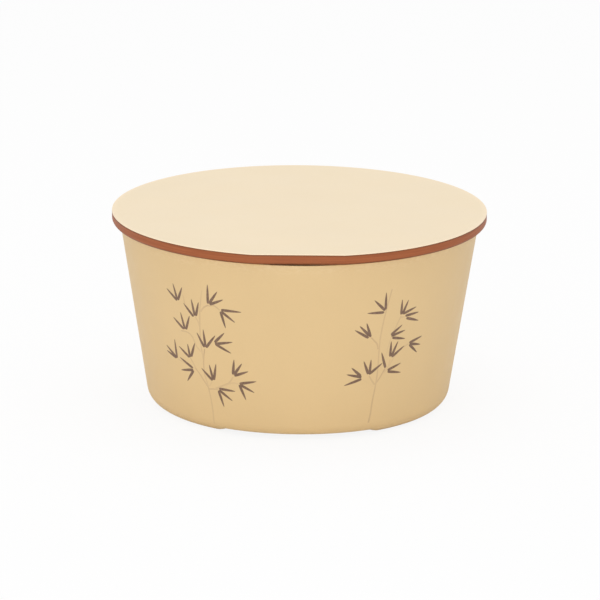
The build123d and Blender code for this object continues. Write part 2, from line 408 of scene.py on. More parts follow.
class Finish(Nodes):
    """A material under the making, with the nodes that its look is made of."""

    def __init__(self, name):
        self.material = bpy.data.materials.new(name)
        super().__init__(self.material)
        self.shader = self.node("ShaderNodeBsdfPrincipled")
        self.node("ShaderNodeOutputMaterial", {"Surface": self.shader.outputs["BSDF"]})
        self.place = self.node("ShaderNodeTexCoord").outputs["Object"]

    def grain(self, size, detail=2.0, stretch=(1, 1, 1), roughness=0.5):
        """Noise whose blots are about the given size in metres, stretched along the axes."""
        scale = tuple(1 / (size * share) for share in stretch)
        mapping = self.node("ShaderNodeMapping", {"Vector": self.place, "Scale": scale})
        noise = self.node("ShaderNodeTexNoise", {
            "Vector": mapping.outputs["Vector"], "Scale": 1, "Detail": detail, "Roughness": roughness,
        })
        return noise.outputs["Fac"]

    def cells(self, size):
        """Distance to the nearest cell centre of a foam of the given cell size."""
        inputs = {"Vector": self.place, "Scale": 1 / size}
        return self.node("ShaderNodeTexVoronoi", inputs).outputs["Distance"]

    def height(self):
        """Height over the floor."""
        return self.node("ShaderNodeSeparateXYZ", {"Vector": self.place}).outputs["Z"]

    def drawn(self, name):
        """An attribute of the mesh."""
        return self.node("ShaderNodeAttribute", attribute_name=name).outputs["Fac"]

    def settled(self, name):
        """An attribute of the mesh, made to come and go in patches: it carries the painted shade in the
        joint under the lid.
        """
        patches = self.span(self.grain(0.015, detail=5), 0.38, 0.58, 0.8, 1)
        return self.times(self.drawn(name), patches)

    def span(self, value, low, high, to_low=0.0, to_high=1.0):
        """A value carried from one range to another, and held within it."""
        return self.node("ShaderNodeMapRange", {
            "Value": value, "From Min": low, "From Max": high, "To Min": to_low, "To Max": to_high,
        }).outputs["Result"]

    def between(self, noise, low, high):
        """Noise, nearly all of which lies from 0.3 to 0.7, carried to the range low to high."""
        return self.span(noise, 0.3, 0.7, low, high)

    def plus(self, first, second):
        """Sum of two values."""
        return self.node("ShaderNodeMath", {0: first, 1: second}).outputs[0]

    def mixed(self, factor, first, second):
        """Colour between two, by a factor. The node's sockets for colours are the inputs 6 and 7 and
        the output 2."""
        inputs = {0: factor, 6: first, 7: second}
        return self.node("ShaderNodeMix", inputs, data_type="RGBA").outputs[2]

    def toned(self, tint, factor, low, high):
        """A colour made lighter or darker by a factor that is carried to the range low to high."""
        inputs = {"Color": tint, "Value": self.between(factor, low, high)}
        return self.node("ShaderNodeHueSaturation", inputs).outputs["Color"]

    def raised(self, value, depth, normal=None):
        """Bump of the given depth in metres, on top of another where one is given."""
        inputs = {"Height": value, "Distance": depth}
        if normal is not None:
            inputs["Normal"] = normal
        return self.node("ShaderNodeBump", inputs).outputs["Normal"]

    def dress(self, tint, roughness, normal, specular=0.5):
        """Puts the colour, roughness and bump on the shader."""
        self.link(tint, self.shader, "Base Color")
        self.link(roughness, self.shader, "Roughness")
        self.link(normal, self.shader, "Normal")
        self.link(specular, self.shader, "Specular IOR Level")
        return self.material


def beige_plastic(colours):
    """Dull moulded plastic: cloudy and speckled a little, rubbed paler at the base corner, with a painted
    highlight paler along the lip, soiled where it stands on the floor, and painted shade, darker in patches,
    in the rebate under the lid and round the plug's head."""
    finish = Finish("beige_plastic")
    cloud = finish.grain(0.070, detail=3)
    speckle = finish.grain(0.0012)
    rub = finish.grain(0.006, detail=6, stretch=(1, 1, 0.4), roughness=0.7)
    tint = finish.toned(colours.wall, cloud, 0.985, 1.015)
    tint = finish.toned(tint, speckle, 0.99, 1.01)
    # Paler at the marked rows: scuffs at the base corner and the plug's edge, and a painted highlight along
    # the lip.
    wear = finish.times(finish.drawn("wear"), finish.span(rub, 0.45, 0.62))
    tint = finish.mixed(finish.times(wear, 0.5), tint, colours.wall_scuffed)
    soil = finish.times(finish.span(finish.height(), 0, 0.0012, 1, 0), finish.span(rub, 0.35, 0.6))
    tint = finish.mixed(finish.times(soil, 0.25), tint, colours.grime)
    # Painted shade: darker in patches in the rebate under the lid and round the plug's head.
    tint = finish.mixed(finish.settled("soil"), tint, colours.joint)
    polish = finish.between(finish.grain(0.018, detail=5), 0.44, 0.52)
    roughness = finish.plus(polish, finish.times(wear, 0.12))
    orange_peel = finish.raised(finish.grain(0.0045, detail=1), 0.00004)
    skin = finish.raised(finish.grain(0.0006), 0.00003, orange_peel)
    return finish.dress(tint, roughness, skin, specular=0.4)


def cream_sheet(colours, name="cream_sheet", base=None):
    """Dull laminate sheet: a pear-skin grain, faint clouds, hair-fine wiping marks, and a painted highlight,
    paler, along its edges.
    """
    finish = Finish(name)
    base = base or colours.sheet
    cloud = finish.grain(0.110, detail=3)
    fleck = finish.grain(0.0016, detail=3)
    tint = finish.toned(base, cloud, 0.990, 1.010)
    tint = finish.toned(tint, fleck, 0.993, 1.007)
    # Painted highlight: paler along the sheet's edges.
    tint = finish.mixed(finish.drawn("wear"), tint, colours.sheet_edge)
    wiping = finish.grain(0.0009, detail=4, stretch=(40, 3, 1), roughness=0.6)
    polish = finish.between(finish.grain(0.045, detail=4), 0.42, 0.50)
    roughness = finish.plus(polish, finish.span(wiping, 0.55, 0.75, 0, 0.05))
    skin = finish.raised(finish.grain(0.0011), 0.00003)
    return finish.dress(tint, roughness, finish.raised(wiping, 0.000006, skin))


def brown_edging(colours):
    """Drawn plastic edging: fine streaks along its length, and painted shade, darker, at its seam under the
    top sheet and along its lower rounding.
    """
    finish = Finish("brown_edging")
    streak = finish.grain(0.0011, detail=4, stretch=(60, 60, 1), roughness=0.6)
    patch = finish.grain(0.035, detail=3)
    tint = finish.mixed(finish.span(streak, 0.35, 0.68), colours.band, colours.band_streak)
    tint = finish.toned(tint, patch, 0.96, 1.04)
    # Painted shade: darker at the seam and along the lower rounding, ragged at its border.
    ragged = finish.span(finish.grain(0.004, detail=5), 0.3, 0.6, 0.6, 1)
    edge_shade = finish.times(finish.drawn("wear"), ragged)
    tint = finish.mixed(edge_shade, tint, colours.band_edge)
    roughness = finish.between(streak, 0.42, 0.54)
    skin = finish.raised(finish.grain(0.0008), 0.00001, finish.raised(streak, 0.00003))
    return finish.dress(tint, roughness, skin, specular=0.2)


def cream_plastic(colours):
    """Smooth food-grade plastic: a soft gloss with fine scratches, and clouded a little. It has a painted
    highlight, a little paler, at its marked edges, and painted shade, darker in patches, in the joint under
    the lid.
    """
    finish = Finish("cream_plastic")
    cloud = finish.grain(0.060, detail=3)
    scratch = finish.grain(0.0008, detail=5, stretch=(12, 12, 1), roughness=0.7)
    tint = finish.toned(colours.liner, cloud, 0.985, 1.015)
    # Painted highlight: a little paler at the marked edges of the bead and the ring.
    tint = finish.toned(tint, finish.drawn("wear"), 1.0, 1.02)
    # Painted shade: darker in patches in the joint under the lid.
    tint = finish.mixed(finish.settled("soil"), tint, colours.joint)
    roughness = finish.plus(
        finish.between(finish.grain(0.030), 0.30, 0.34),
        finish.span(scratch, 0.58, 0.72, 0, 0.06),
    )
    ripple = finish.raised(finish.grain(0.012, detail=1), 0.00005)
    return finish.dress(tint, roughness, finish.raised(scratch, 0.00001, ripple))


def rigid_foam(colours):
    """Rigid foam: closed cells under a dull skin."""
    finish = Finish("rigid_foam")
    cell = finish.cells(0.0012)
    tint = finish.toned(colours.foam, finish.grain(0.030, detail=4), 0.95, 1.05)
    roughness = finish.span(cell, 0.0, 0.6, 0.75, 0.95)
    return finish.dress(tint, roughness, finish.raised(cell, 0.0002), specular=0.3)


def leaf_ink(colours):
    """Printed ink of the leaves: it lies thinner in small blots, and is a little duller than the wall."""
    finish = Finish("leaf_ink")
    blot = finish.grain(0.0028, detail=4, roughness=0.6)
    tint = finish.mixed(finish.span(blot, 0.42, 0.70), colours.leaf, colours.leaf_thin)
    roughness = finish.between(finish.grain(0.001, detail=3), 0.46, 0.60)
    return finish.dress(tint, roughness, finish.raised(blot, 0.00001))


def stem_ink(colours):
    """Printed ink of the stems: a faint tone that comes and goes along them."""
    finish = Finish("stem_ink")
    blot = finish.grain(0.0060, detail=4, roughness=0.6)
    strength = finish.times(finish.drawn("strength"), finish.span(blot, 0.35, 0.70, 1, 0.7))
    tint = finish.mixed(strength, colours.wall, colours.stem)
    roughness = finish.between(finish.grain(0.001, detail=3), 0.46, 0.58)
    return finish.dress(tint, roughness, finish.raised(blot, 0.00001))


def finish_once(maker, **options):
    """The finish that a maker gives, made the first time and found again after that."""
    name = options.get("name", maker.__name__)
    colours = bpy.context.scene.rice_tub_colours
    return bpy.data.materials.get(name) or maker(colours, **options)


class Undoable:
    """What all operators of the tub share: each can be undone and run again."""

    bl_options = {"REGISTER", "UNDO"}


# Forms of the tub

def taper_of(sizes):
    """Angle by which the wall leans out."""
    return math.atan2(sizes.rim_line_radius - sizes.foot_line_radius, sizes.rim_level)


def wall_radius(sizes, height, inset=0.0):
    """Radius of the outer wall at a height, or of a surface set in from it: the line from the
    foot to the rim, less the inset over the cosine of the taper."""
    slope = (sizes.rim_line_radius - sizes.foot_line_radius) / sizes.rim_level
    return sizes.foot_line_radius + slope * height - inset / math.cos(taper_of(sizes))


def seat_level(sizes):
    """Height of the shell's seat, which the liner's flange lies on."""
    return sizes.shell_top - sizes.flange_thickness


def lip_radius(sizes):
    """Radius of the lip's inner side."""
    return wall_radius(sizes, sizes.shell_top) - sizes.lip_width


def corner_reach(sizes):
    """How far the base corner's arc reaches from where the wall's line meets the floor: its radius
    times the tangent of half the turn between the two."""
    return sizes.corner_radius * math.tan((math.pi / 2 - taper_of(sizes)) / 2)


def liner_insets(sizes):
    """How far the liner's outer and inner sides are set in from the outer wall."""
    outer = sizes.shell_wall + sizes.foam_wall
    return outer, outer + sizes.liner_wall


def channel_height(sizes, across, growth=0.0):
    """Height of the finger channel's ceiling over a distance from its middle.

    The ceiling is level up to half the channel's width, falls along a straight ramp, and runs
    out to the floor on an arc of the ramp's rounding. With a growth, the ceiling is moved out by
    that thickness at a right angle to itself.
    """
    across = np.abs(across)
    ramp_angle = math.atan2(sizes.foot_height, sizes.ramp_length)
    half_top = sizes.channel_width / 2 + growth * math.tan(ramp_angle / 2)
    ceiling = sizes.foot_height + growth
    ramp = ceiling - (across - half_top) * math.tan(ramp_angle)
    radius = sizes.ramp_rounding - growth
    foot = sizes.channel_width / 2 + sizes.ramp_length
    centre = foot + sizes.ramp_rounding * math.tan(ramp_angle / 2)
    arc_start = centre - radius * math.sin(ramp_angle)
    short = np.minimum(across - centre, 0)
    arc = sizes.ramp_rounding - np.sqrt(np.maximum(radius ** 2 - short ** 2, 0))
    past_ramp = np.where(across < centre, arc, growth)
    return np.where(across > arc_start, past_ramp, np.minimum(ceiling, ramp))


def under_channel(sizes, profile, angles, growth=0.0):
    """A half section carried round the axis, with its points under the tub lifted to the finger
    channel's ceiling wherever that is higher."""
    grid = turned(profile, angles)
    lifted = np.maximum(grid[..., 2], channel_height(sizes, grid[..., 0], growth))
    under = profile[:, None, 1] < sizes.foot_height + growth
    grid[..., 2] = np.where(under, lifted, grid[..., 2])
    return grid


def shell_profile(sizes):
    """Half sections of the outer shell: outside from the axis to the rim, and inside back again."""
    draft = math.tan(sizes.recess_draft)
    foot_inner = sizes.foot_line_radius - corner_reach(sizes) - sizes.foot_width
    wall = sizes.shell_wall
    seat = seat_level(sizes)
    lip = lip_radius(sizes)
    outside = rounded_run(
        (
            (foot_inner * CENTRE_SHARE, sizes.foot_height),
            (foot_inner - sizes.foot_height * draft, sizes.foot_height),
            (foot_inner, 0),
            (sizes.foot_line_radius, 0),
            (wall_radius(sizes, sizes.shell_top), sizes.shell_top),
            (lip, sizes.shell_top),
            (lip, seat),
            (wall_radius(sizes, seat, wall), seat),
        ),
        (0, 0, sizes.corner_radius, sizes.lip_rounding, sizes.lip_rounding, 0),
        steps=12,
    )
    inner_corner = wall_radius(sizes, wall, wall)
    lean = math.sin(taper_of(sizes)), math.cos(taper_of(sizes))
    floor_drop = sizes.foot_height * draft
    inner_step = foot_inner + wall / math.cos(sizes.recess_draft) - wall * draft
    inside = np.array((
        (wall_radius(sizes, seat, wall), seat),
        (inner_corner + sizes.inside_flat * lean[0], wall + sizes.inside_flat * lean[1]),
        (inner_corner - sizes.inside_flat, wall),
        (inner_step, wall),
        (inner_step - floor_drop, wall + sizes.foot_height),
        (foot_inner * CENTRE_SHARE, wall + sizes.foot_height),
    ))
    return outside, inside


class RICE_TUB_OT_outer_shell(Undoable, bpy.types.Operator):
    """Make the outer shell with its foot, finger channel, rounded base corner and lip"""

    bl_idname = "rice_tub.outer_shell"
    bl_label = "Outer Shell"

    def execute(self, context):
        """Both half sections are carried round the axis under the channel's ceiling. The outer one
        is cut finer along the foot, from where the ramps end."""
        sizes = context.scene.rice_tub_sizes
        angles = full_turn(SHELL_TURN)
        thickness = sizes.shell_wall
        outside, inside = shell_profile(sizes)
        outside = divided(outside, SHELL_SPACING)
        inside = divided(inside, INSIDE_SPACING)[1:]
        low = outside[:, 1] <= sizes.foot_height
        step = np.argmax(outside[:, 0] > sizes.channel_width / 2 + sizes.ramp_length)
        foot = divided(outside[low][step:], CHANNEL_SPACING)
        outside = np.concatenate((outside[:step], foot, outside[~low]))
        grids = under_channel(sizes, outside, angles), under_channel(sizes, inside, angles, thickness)
        rubbed = sizes.corner_radius * BASE_WEAR_SHARE
        # Paler at the lip, a painted highlight, and at the base corner, where it is rubbed.
        places = (
            (wall_radius(sizes, sizes.shell_top), sizes.shell_top),
            (sizes.foot_line_radius - rubbed, rubbed),
        )
        # Painted shade in the rebate inside the lip, where the lid shades it.
        inner_side = outside[:, 0] < lip_radius(sizes) + NEARLY
        in_rebate = inner_side & (outside[:, 1] > sizes.shell_top - sizes.rebate_depth)
        hidden = np.zeros(len(inside))
        piece = mesh_piece(
            "tub_outer_shell",
            np.concatenate(grids),
            finish_once(beige_plastic),
            poles=((0, 0, sizes.foot_height), (0, 0, sizes.foot_height + thickness)),
            wear=np.concatenate((worn_rows(outside, places, SHELL_WEAR_AND_HIGHLIGHT), hidden)),
            soil=np.concatenate((in_rebate, hidden)),
        )
        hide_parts("outer_shell")
        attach(piece, "tub")
        return {"FINISHED"}


class RICE_TUB_OT_fill_plug(Undoable, bpy.types.Operator):
    """Make the round plug of the hole through which the wall was filled with foam"""

    bl_idname = "rice_tub.fill_plug"
    bl_label = "Fill Plug"

    def execute(self, context):
        """A half section carried round the axis: a stem, a head with a rounded edge, and a
        shallow dimple in the middle of the head."""
        sizes = context.scene.rice_tub_sizes
        head_top = plug_low.z + sizes.plug_head_thickness
        dimple = sizes.plug_dimple_radius
        depth = sizes.plug_dimple_depth
        profile = rounded_run(
            (
                (dimple * CENTRE_SHARE, plug_low.z + depth),
                (dimple, plug_low.z + depth),
                (dimple + depth, plug_low.z),
                (plug_high.x, plug_low.z),
                (plug_high.x, head_top),
                (sizes.plug_stem_radius, head_top),
                (sizes.plug_stem_radius, plug_high.z),
                (sizes.plug_stem_radius * CENTRE_SHARE, plug_high.z),
            ),
            (depth / 2, depth / 2, sizes.plug_rounding, 0, 0, 0),
        )
        profile = divided(profile, SMALL_SPACING)
        piece = mesh_piece(
            "tub_fill_plug",
            turned(profile, full_turn(PLUG_TURN)),
            finish_once(beige_plastic),
            poles=((0, 0, profile[0, 1]), (0, 0, plug_high.z)),
            wear=worn_rows(profile, ((plug_high.x, plug_low.z),), PLUG_WEAR),
            # Painted shade round the seam at the top edge of the head.
            soil=worn_rows(profile, ((plug_high.x, head_top),), PLUG_SEAM_SHADE),
        )
        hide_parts("foam_fill_plug")
        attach(piece, "tub")
        return {"FINISHED"}


class RICE_TUB_OT_liner(Undoable, bpy.types.Operator):
    """Make the liner with its rice well, the flange on the rim and the bead that the lid lies on"""

    bl_idname = "rice_tub.liner"
    bl_label = "Liner"

    def execute(self, context):
        """A half section carried round the axis, from under the floor round the rim and down
        into the well."""
        sizes = context.scene.rice_tub_sizes
        outer, inner = liner_insets(sizes)
        floor = liner_low.z
        well = floor + sizes.liner_wall
        seat = seat_level(sizes)
        flange = lip_radius(sizes) - sizes.flange_clearance
        mouth = wall_radius(sizes, sizes.rim_level, inner)
        bead = mouth + sizes.bead_width
        profile = rounded_run(
            (
                (outer, floor),
                (wall_radius(sizes, floor, outer), floor),
                (wall_radius(sizes, seat, outer), seat),
                (flange, seat),
                (flange, sizes.shell_top),
                (bead, sizes.shell_top),
                (bead, sizes.rim_level),
                (mouth, sizes.rim_level),
                (wall_radius(sizes, well, inner), well),
                (outer, well),
            ),
            (
                sizes.liner_corner + sizes.liner_wall, 0, 0, sizes.flange_rounding,
                sizes.flange_rounding, sizes.bead_rounding, sizes.bead_rounding, sizes.liner_corner,
            ),
            steps=10,
        )
        profile = divided(profile, LINER_SPACING)
        # Painted shade in the joint under the lid: on the flange and up the bead's outer side, fading out
        # towards the bead's top.
        joint = (profile[:, 0] > bead - NEARLY) & (profile[:, 1] > seat + NEARLY)
        middle = (sizes.shell_top + sizes.rim_level) / 2
        in_joint = joint * np.clip((sizes.rim_level - profile[:, 1]) / (sizes.rim_level - middle), 0, 1)
        piece = mesh_piece(
            "tub_liner",
            turned(profile, full_turn(LINER_TURN)),
            finish_once(cream_plastic),
            poles=((0, 0, floor), (0, 0, well)),
            # Painted highlight: a little paler along both edges of the bead.
            wear=worn_rows(profile, ((bead, sizes.rim_level), (mouth, sizes.rim_level)), LINER_HIGHLIGHT),
            soil=in_joint,
        )
        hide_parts("inner_liner")
        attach(piece, "tub")
        return {"FINISHED"}


class RICE_TUB_OT_foam(Undoable, bpy.types.Operator):
    """Give the hidden foam in the wall and the lid's core board their finish"""

    bl_idname = "rice_tub.foam"
    bl_label = "Foam"

    def execute(self, context):
        """Both keep the shape that the frame gives them and only take the foam's finish."""
        foam = finish_once(rigid_foam)
        for name in ("insulation_cup", "lid_core"):
            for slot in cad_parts[name].material_slots:
                slot.material = foam
        return {"FINISHED"}


# Forms of the lid

def lid_outline(lid, arc_count=900, flat_count=48, corner_count=10):
    """Points of the lid's edge and their outward directions, counterclockwise from the flat.

    The edge is a line at the flat, two arcs of the corner radius about centres that lie a corner
    radius inside both the line and the circle, and the circle's long arc between them.
    """
    centre_y = lid.corner_radius - lid.flat_distance
    centre_x = math.sqrt((lid.radius - lid.corner_radius) ** 2 - centre_y ** 2)
    corner_end = math.atan2(centre_y, centre_x)
    flat = np.linspace(-centre_x, centre_x, flat_count, endpoint=False)
    right = np.linspace(-math.pi / 2, corner_end, corner_count, endpoint=False)
    far = np.linspace(corner_end, math.pi - corner_end, arc_count, endpoint=False)
    left = np.linspace(math.pi - corner_end, 3 * math.pi / 2, corner_count, endpoint=False)
    angles = np.concatenate((np.full(flat_count, -math.pi / 2), right, far, left))
    outward = np.column_stack((np.cos(angles), np.sin(angles)))
    points = np.concatenate((
        np.column_stack((flat, np.full(flat_count, -lid.flat_distance))),
        (centre_x, centre_y) + lid.corner_radius * outward[flat_count:flat_count + corner_count],
        lid.radius * outward[flat_count + corner_count:-corner_count],
        (-centre_x, centre_y) + lid.corner_radius * outward[-corner_count:],
    ))
    return points, outward


def along_edge(outline, profile):
    """A profile of inset and height carried along the lid's edge: each point of the edge is moved
    inwards by the inset, against its outward direction."""
    points, outward = outline
    inset, height = profile[:, :1], profile[:, 1:] + np.zeros(len(points))
    across, along = (points[:, axis] - inset * outward[:, axis] for axis in range(2))
    return np.stack((across, along, height), axis=-1)


def board(name, lid, profile, finish, wear):
    """A flat board: the profile runs along the lid's edge from the underside to the top, and both
    faces close to the axis on rings that are the profile's ends scaled down."""
    edge = along_edge(lid_outline(lid), profile)
    shares = (np.arange(BOARD_RINGS) + 0.5) / (BOARD_RINGS + 0.5)
    scales = np.column_stack((shares, shares, np.ones(BOARD_RINGS)))[:, None]
    grid = np.concatenate((edge[:1] * scales, edge, edge[-1:] * scales[::-1]))
    plain = np.zeros(BOARD_RINGS)
    poles = ((0, 0, profile[0, 1]), (0, 0, profile[-1, 1]))
    return mesh_piece(name, grid, finish, poles=poles, wear=np.concatenate((plain, wear, plain)))


class RICE_TUB_OT_lid_top_sheet(Undoable, bpy.types.Operator):
    """Make the cream sheet on the lid, with its rounded upper edge"""

    bl_idname = "rice_tub.lid_top_sheet"
    bl_label = "Lid Top Sheet"

    def execute(self, context):
        """The edge's profile runs out under the sheet, round the seam, up and round the top."""
        lid = context.scene.rice_tub_lid
        inner = lid.edge_strip
        profile = rounded_run(
            ((inner, lid_low.z), (0, lid_low.z), (0, lid_high.z), (inner, lid_high.z)),
            (lid.seam_rounding / 2, lid.sheet_rounding),
        )
        # Painted highlight along the sheet's edge, at the seam and at the rounded top.
        places = ((0, lid_low.z), (0, lid_high.z - lid.sheet_rounding))
        wear = worn_rows(profile, places, SHEET_HIGHLIGHT)
        piece = board("lid_cream_sheet", lid, profile, finish_once(cream_sheet), wear)
        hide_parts("lid_top_sheet")
        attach(piece, "lid")
        return {"FINISHED"}


class RICE_TUB_OT_lid_bottom_sheet(Undoable, bpy.types.Operator):
    """Make the cream sheet under the lid, inside the edge band"""

    bl_idname = "rice_tub.lid_bottom_sheet"
    bl_label = "Lid Bottom Sheet"

    def execute(self, context):
        """The profile runs round the sheet's edge, which is rounded below, and is set in by the band
        and its play."""
        lid = context.scene.rice_tub_lid
        edge = lid.band_thickness + lid.sheet_gap
        inner = edge + lid.edge_strip
        profile = rounded_run(
            ((inner, sheet_low.z), (edge, sheet_low.z), (edge, sheet_high.z), (inner, sheet_high.z)),
            (lid.seam_rounding, 0),
        )
        cream = context.scene.rice_tub_colours.liner
        finish = finish_once(cream_sheet, name="underside_sheet", base=cream)
        piece = board("lid_underside_sheet", lid, profile, finish, np.zeros(len(profile)))
        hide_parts("lid_bottom_sheet")
        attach(piece, "lid")
        return {"FINISHED"}


class RICE_TUB_OT_lid_edge_band(Undoable, bpy.types.Operator):
    """Make the reddish brown band round the lid's edge"""

    bl_idname = "rice_tub.lid_edge_band"
    bl_label = "Lid Edge Band"

    def execute(self, context):
        """A closed profile with rounded outer edges, carried along the lid's edge. It has painted shade,
        darker, at the seam under the top sheet, halfway round its lower edge, and a little further under the
        lid."""
        lid = context.scene.rice_tub_lid
        thickness, low, high = lid.band_thickness, band_low.z, band_high.z
        profile = closed_run(
            ((thickness, low), (0, low), (0, high), (thickness, high)),
            (0, lid.band_rounding, lid.seam_rounding, 0), BAND_SPACING, steps=12,
        )
        halfway = lid.band_rounding * (1 - math.sqrt(0.5))
        places = ((0, high), (halfway, low + halfway), (2 * halfway, low + halfway / 2))
        piece = mesh_piece(
            "lid_brown_band",
            along_edge(lid_outline(lid), profile),
            finish_once(brown_edging),
            wear=worn_rows(profile, places, BAND_SHADE),
        )
        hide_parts("lid_edge_band")
        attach(piece, "lid")
        return {"FINISHED"}


class RICE_TUB_OT_locating_ring(Undoable, bpy.types.Operator):
    """Make the ring under the lid that centres it in the liner's mouth"""

    bl_idname = "rice_tub.locating_ring"
    bl_label = "Locating Ring"

    def execute(self, context):
        """A closed half section that follows the liner's wall, carried round the axis."""
        sizes = context.scene.rice_tub_sizes
        lid = context.scene.rice_tub_lid
        outer = liner_insets(sizes)[1] + lid.ring_clearance
        inner = outer + lid.ring_wall
        low, high = ring_low.z, ring_high.z
        highlit_edge = (wall_radius(sizes, low, outer), low)
        profile = closed_run(
            (
                (wall_radius(sizes, low, inner), low),
                highlit_edge,
                (wall_radius(sizes, high, outer), high),
                (wall_radius(sizes, high, inner), high),
            ),
            (lid.ring_rounding, lid.ring_rounding, 0, 0), SMALL_SPACING,
        )
        piece = mesh_piece(
            "lid_ring",
            turned(profile, full_turn(LINER_TURN)),
            finish_once(cream_plastic),
            # Painted highlight: a little paler along the ring's lower outer edge.
            wear=worn_rows(profile, (highlit_edge,), LINER_HIGHLIGHT),
            soil=np.zeros(len(profile)),
        )
        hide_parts("lid_locating_ring")
        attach(piece, "lid")
        return {"FINISHED"}


# Bamboo print as seen from the front, across and up in millimetres. Every row is a group of leaves,
# and each leaf has the place where it starts and the place of its tip, read off.

LEFT_LEAVES = (
    ((-127.5, 143, -138, 153), (-127, 144, -131.5, 160.5), (-126, 144, -122, 158.5)),
    ((-110, 129, -120, 141), (-108.5, 130.5, -112, 147.5), (-107, 130.5, -104.5, 145.5)),
    ((-120.5, 112, -131, 122), (-119, 112.5, -123.5, 129.5), (-117.5, 112.5, -114, 128)),
    ((-94.5, 147, -95, 167.5), (-93, 147, -85, 161), (-92, 146, -79, 153)),
    ((-80, 141.5, -60, 141.5), (-80, 139.5, -66.5, 129.5), (-81, 139, -76, 122)),
    ((-98.5, 96.5, -106, 110.5), (-97, 97, -99.5, 115.5), (-96, 96.5, -87, 111)),
    ((-87, 104, -77.5, 115.5), (-86.5, 102, -69, 106.5), (-86, 101.5, -70.5, 94)),
    ((-129, 77.5, -138.5, 86.5), (-128.5, 76, -138, 80.5), (-127.5, 76.5, -130, 96.5)),
    ((-114.5, 81, -125, 90), (-113.5, 81.5, -116, 95), (-112, 82.5, -108.5, 98)),
    ((-111, 69.5, -124, 77.5), (-110.5, 67, -122.5, 63.5), (-110, 66, -116, 53)),
    ((-90, 60, -101, 71), (-89, 61, -93, 76.5), (-88, 61, -86, 78.5)),
    ((-68, 70.5, -67, 86.5), (-66.5, 70.5, -59, 83), (-66, 69, -52.5, 75)),
    ((-82, 51.5, -66, 51), (-82, 49.5, -69, 40), (-83, 48.5, -77.5, 32)),
    ((-60.5, 60.5, -44, 64.5), (-60, 59, -46, 52), (-61, 58.5, -54.5, 43)),
)
RIGHT_LEAVES = (
    ((90.5, 142.5, 91, 160.5), (89.5, 141.5, 79, 153.5), (88.5, 139, 72, 140)),
    ((107, 134, 108, 149.5), (108.5, 134, 114.5, 148), (109.5, 134, 122.5, 138.5)),
    ((112, 131, 125, 132), (113, 128, 125, 122.5)),
    ((75, 113.5, 71, 128.5), (73.5, 115, 64, 126), (72.5, 112.5, 59, 122)),
    ((97, 112.5, 108, 121), (97.5, 111, 111, 114.5), (98.5, 108.5, 111, 105)),
    ((116.5, 99, 129, 103), (117, 97.5, 127.5, 94), (116.5, 96.5, 124, 86)),
    ((96, 88, 97, 104), (97.5, 88, 104, 103), (98, 87, 110.5, 96.5)),
    ((91, 76, 87, 93),),
    ((94, 72.5, 107, 77.5), (94, 70.5, 107, 67)),
    ((73, 71.5, 68.5, 85.5), (74.5, 71.5, 76, 86.5), (74.5, 71, 87.5, 81)),
    ((65, 70, 56, 79.5), (65.5, 68.5, 51, 72.5), (65.5, 66, 48.5, 60.5)),
)

# Every stem has the strength of its ink at its start and its end, then the points it runs through,
# read off as well.

LEFT_STEMS = (
    ((0.4, 0.6), (-88, 10), (-89, 23), (-91, 37), (-94, 51)),
    ((0.6, 0.8), (-94, 51), (-99, 58), (-103, 64), (-108, 70)),
    ((0.5, 0.6), (-93, 49), (-88, 50), (-83, 50)),
    ((0.5, 0.5), (-86, 51), (-78, 56), (-72, 60), (-68, 67)),
    ((0.3, 0.3), (-77, 56), (-69, 60), (-62, 60)),
    ((0.2, 0.3), (-93, 52), (-91, 56), (-90, 59)),
    ((0.3, 1.0), (-94, 52), (-98, 66), (-99, 80), (-98, 94)),
    ((0.4, 0.7), (-99, 80), (-102, 100), (-103, 120)),
    ((0.6, 0.3), (-103, 120), (-103, 136), (-102, 150), (-101, 160)),
    ((0.4, 0.5), (-103, 118), (-105, 124), (-108, 129)),
    ((0.5, 0.9), (-102, 136), (-99, 141), (-94, 145)),
    ((0.6, 0.7), (-94, 144), (-88, 145), (-82, 141)),
    ((0.3, 0.7), (-102, 90), (-107, 96), (-111, 105), (-116, 109), (-123, 109)),
    ((0.6, 0.3), (-119, 141), (-120, 146), (-121, 151)),
    ((0.3, 0.6), (-107, 69), (-110, 75), (-113, 80)),
    ((0.3, 0.3), (-109, 69), (-117, 72), (-127, 75)),
)
RIGHT_STEMS = (
    ((0.8, 0.5), (74, 15), (76, 25), (78, 40), (81, 57), (83, 74), (84, 92), (85, 108)),
    ((0.5, 0.7), (85, 108), (88, 126), (91, 140), (94, 152), (97, 164)),
    ((0.6, 0.6), (80, 58), (77, 63), (74, 69)),
    ((0.1, 0.1), (79, 56), (73, 61), (67, 65)),
    ((0.6, 0.9), (82, 60), (86, 66), (91, 75)),
    ((0.6, 0.9), (83, 98), (82, 104), (79, 108), (76, 112)),
    ((0.3, 0.4), (88, 69), (93, 74), (96, 84)),
    ((0.3, 0.4), (94, 75), (101, 87), (108, 94), (115, 98)),
    ((0.1, 0.6), (91, 88), (94, 100), (98, 112), (102, 121), (107, 132)),
    ((0.3, 0.3), (105, 129), (108, 130), (111, 130)),
)
MILLIMETRE = 0.001
LENS_POINTS = 8
LEAF_ROWS = 24
LEAF_POINT = 0.004  # share of a leaf's way that is left to the point at either end
STEM_STEPS = 8


def printed_surface(sizes, height):
    """Radius of the shell's outside at a height and the cosine of its slope: the wall's line, and
    under it the base corner's arc, whose slope's sine is the depth under the arc's centre over
    the corner's radius."""
    taper = taper_of(sizes)
    corner = sizes.corner_radius
    sunk = np.clip((corner - height) / corner, math.sin(taper), 1)
    cosine = np.sqrt(1 - sunk ** 2)
    on_arc = sizes.foot_line_radius - corner_reach(sizes) + corner * cosine
    above = height > corner * (1 - math.sin(taper))
    return np.where(above, wall_radius(sizes, height), on_arc), np.where(above, math.cos(taper), cosine)


